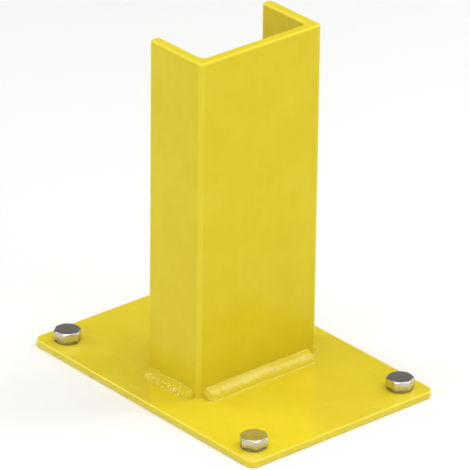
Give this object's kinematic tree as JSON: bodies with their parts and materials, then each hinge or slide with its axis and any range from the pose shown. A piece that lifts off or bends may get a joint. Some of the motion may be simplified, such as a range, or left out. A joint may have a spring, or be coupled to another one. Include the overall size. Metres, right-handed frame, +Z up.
{
  "type": "steel safety bollard",
  "caption": "Short channel-section steel post guard welded upright on a rectangular base plate that sleeve anchors hold to the floor, open at the back.",
  "frame": {"origin": "centre of the base plate's underside, at floor level", "axes": "+Z up along the post; the post's web faces -Y and its open side faces +Y; X runs across the web"},
  "size_m": [0.197, 0.28, 0.363],
  "materials": {
    "yellow_paint": "glossy safety-yellow powder coat",
    "painted_weld": "glossy safety-yellow powder coat over rippled weld",
    "zinc_bolt": "bright zinc plate, slightly dulled",
    "zinc_washer": "bright zinc plate, slightly dulled",
    "zinc_sleeve": "zinc-plated pressed steel"
  },
  "bodies": {
    "guard": {"base_plate": "yellow_paint", "guard_post": "yellow_paint", "weld_web": "painted_weld", "weld_left_flange": "painted_weld", "weld_right_flange": "painted_weld", "sleeve_front_left": "zinc_sleeve", "sleeve_front_right": "zinc_sleeve", "sleeve_rear_right": "zinc_sleeve", "sleeve_rear_left": "zinc_sleeve", "cone_nut_front_left": "zinc_sleeve", "cone_nut_front_right": "zinc_sleeve", "cone_nut_rear_right": "zinc_sleeve", "cone_nut_rear_left": "zinc_sleeve"},
    "washer_front_left": {"washer_front_left": "zinc_washer"},
    "bolt_front_left": {"anchor_bolt_front_left": "zinc_bolt"},
    "washer_front_right": {"washer_front_right": "zinc_washer"},
    "bolt_front_right": {"anchor_bolt_front_right": "zinc_bolt"},
    "washer_rear_right": {"washer_rear_right": "zinc_washer"},
    "bolt_rear_right": {"anchor_bolt_rear_right": "zinc_bolt"},
    "washer_rear_left": {"washer_rear_left": "zinc_washer"},
    "bolt_rear_left": {"anchor_bolt_rear_left": "zinc_bolt"}
  },
  "joints": [
    {"name": "bolt_lift_front_left", "type": "slide", "parent": "guard", "child": "washer_front_left", "axis": [0, 0, 1], "range_m": [0, 0.0175]},
    {"name": "bolt_turn_front_left", "type": "hinge", "parent": "washer_front_left", "child": "bolt_front_left", "pos_m": [-0.0785, -0.119, 0], "axis": [0, 0, 1], "range_deg": [0, 3600]},
    {"name": "bolt_lift_front_right", "type": "slide", "parent": "guard", "child": "washer_front_right", "axis": [0, 0, 1], "range_m": [0, 0.0175]},
    {"name": "bolt_turn_front_right", "type": "hinge", "parent": "washer_front_right", "child": "bolt_front_right", "pos_m": [0.0785, -0.119, 0], "axis": [0, 0, 1], "range_deg": [0, 3600]},
    {"name": "bolt_lift_rear_right", "type": "slide", "parent": "guard", "child": "washer_rear_right", "axis": [0, 0, 1], "range_m": [0, 0.0175]},
    {"name": "bolt_turn_rear_right", "type": "hinge", "parent": "washer_rear_right", "child": "bolt_rear_right", "pos_m": [0.0785, 0.119, 0], "axis": [0, 0, 1], "range_deg": [0, 3600]},
    {"name": "bolt_lift_rear_left", "type": "slide", "parent": "guard", "child": "washer_rear_left", "axis": [0, 0, 1], "range_m": [0, 0.0175]},
    {"name": "bolt_turn_rear_left", "type": "hinge", "parent": "washer_rear_left", "child": "bolt_rear_left", "pos_m": [-0.0785, 0.119, 0], "axis": [0, 0, 1], "range_deg": [0, 3600]}
  ],
  "couplings": [
    {"joint": "bolt_turn_front_left", "follows": "bolt_lift_front_left", "rad_per_m": 3590},
    {"joint": "bolt_turn_front_right", "follows": "bolt_lift_front_right", "rad_per_m": 3590},
    {"joint": "bolt_turn_rear_right", "follows": "bolt_lift_rear_right", "rad_per_m": 3590},
    {"joint": "bolt_turn_rear_left", "follows": "bolt_lift_rear_left", "rad_per_m": 3590}
  ]
}
